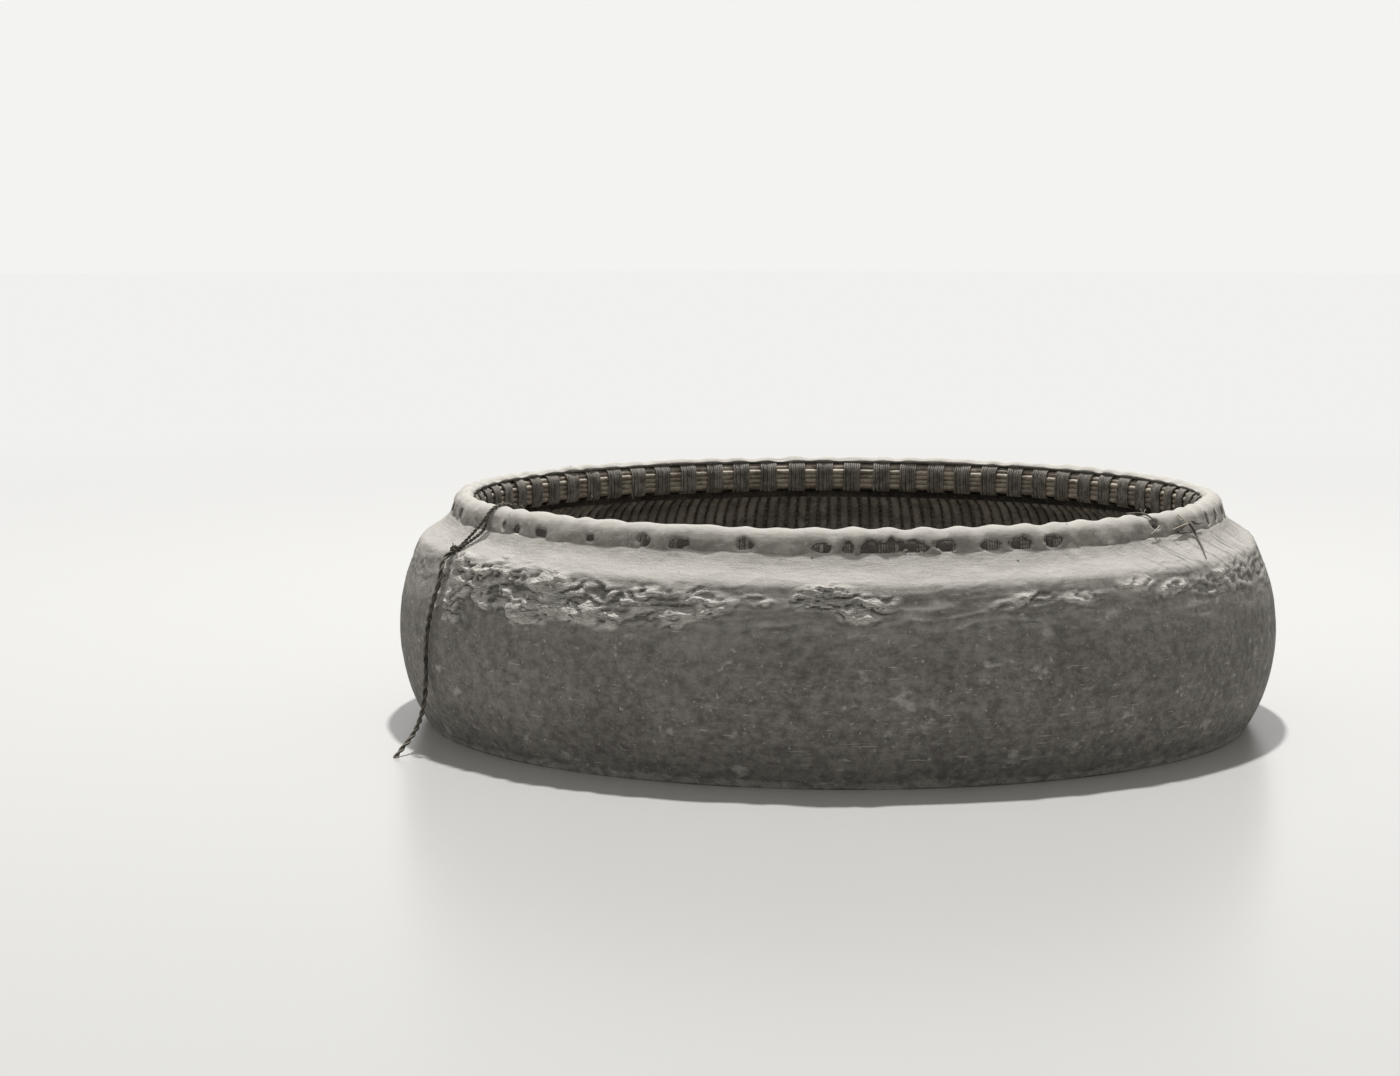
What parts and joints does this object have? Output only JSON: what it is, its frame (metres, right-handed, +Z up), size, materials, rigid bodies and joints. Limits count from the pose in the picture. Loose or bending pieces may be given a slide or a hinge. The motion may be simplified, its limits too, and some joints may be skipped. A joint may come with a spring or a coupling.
{
  "type": "round basket coracle",
  "caption": "Round flat-bottomed basket boat with a ribbed inside, a lashed gunwale, a coat of bitumen outside and a short mooring rope.",
  "frame": {"origin": "centre of the flat bottom, on its underside", "axes": "+Z up along the axis of the bowl, +X to the right and +Y away as seen from the side with the painter on the left"},
  "size_m": [3.201, 3.201, 1.1015],
  "materials": {
    "bitumen": "weathered bitumen, dusty and matt, lumpy below the neck",
    "reed": "coiled bundles of reed, rough",
    "rib_wood": "split branches, weathered",
    "floor_wood": "worn split branches",
    "withy": "peeled withies, dry",
    "palm_cord": "tight turns of palm-fibre cord",
    "rope": "two-strand palm-fibre rope, hairy"
  },
  "bodies": {
    "root": {"bitumen_coat": "bitumen", "coiled_basket": "reed", "long_ribs": "rib_wood", "short_ribs": "rib_wood", "floor_strips_lower": "floor_wood", "floor_strips_upper": "floor_wood", "gunwale_withies": "withy", "gunwale_lashings": "palm_cord", "painter_loop": "rope", "painter_hitch": "rope", "painter": "rope", "painter_end_knot": "rope"}
  },
  "joints": []
}
